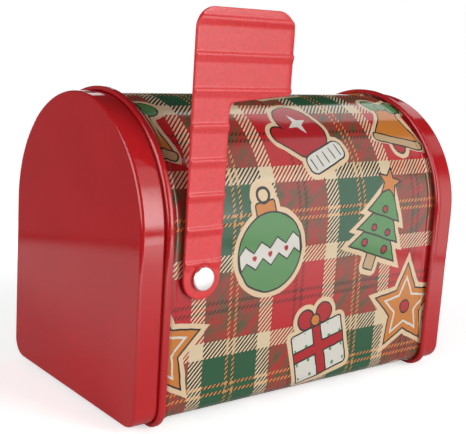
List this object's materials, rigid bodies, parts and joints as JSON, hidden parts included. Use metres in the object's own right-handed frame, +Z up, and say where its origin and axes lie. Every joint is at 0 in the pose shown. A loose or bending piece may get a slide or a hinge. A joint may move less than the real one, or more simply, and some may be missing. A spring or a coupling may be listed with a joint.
{
  "type": "tin money box",
  "caption": "Mailbox-shaped tin money box with tartan print, pull-off front cap, coin slot in the crown and a swinging red flag.",
  "frame": {"origin": "on the surface the tin stands on, under the middle of the sleeve", "axes": "+Z up; -Y towards the front cap, so the tin lies along Y; +X towards the side with the flag"},
  "size_m": [0.1047, 0.1672, 0.1561],
  "materials": {
    "tartan_print": "varnished print on tinplate, satin gloss",
    "cap_enamel": "glossy crimson enamel",
    "flag_enamel": "coral red enamel with a fine grain",
    "rivet_nickel": "bright nickel",
    "washer_zinc": "zinc plated"
  },
  "bodies": {
    "tin": {"sleeve": "tartan_print", "back_cap": "cap_enamel", "pivot_rivet": "rivet_nickel", "flag_spacer": "washer_zinc", "inner_washer": "washer_zinc"},
    "lid": {"front_cap": "cap_enamel"},
    "flag": {"flag": "flag_enamel"}
  },
  "joints": [
    {"name": "lid_pull", "type": "slide", "parent": "tin", "child": "lid", "axis": [0, -1, 0], "range_m": [0, 0.06]},
    {"name": "flag_swing", "type": "hinge", "parent": "tin", "child": "flag", "pos_m": [0.0512, -0.0575, 0.0581], "axis": [-1, 0, 0], "range_deg": [-5, 95]}
  ]
}
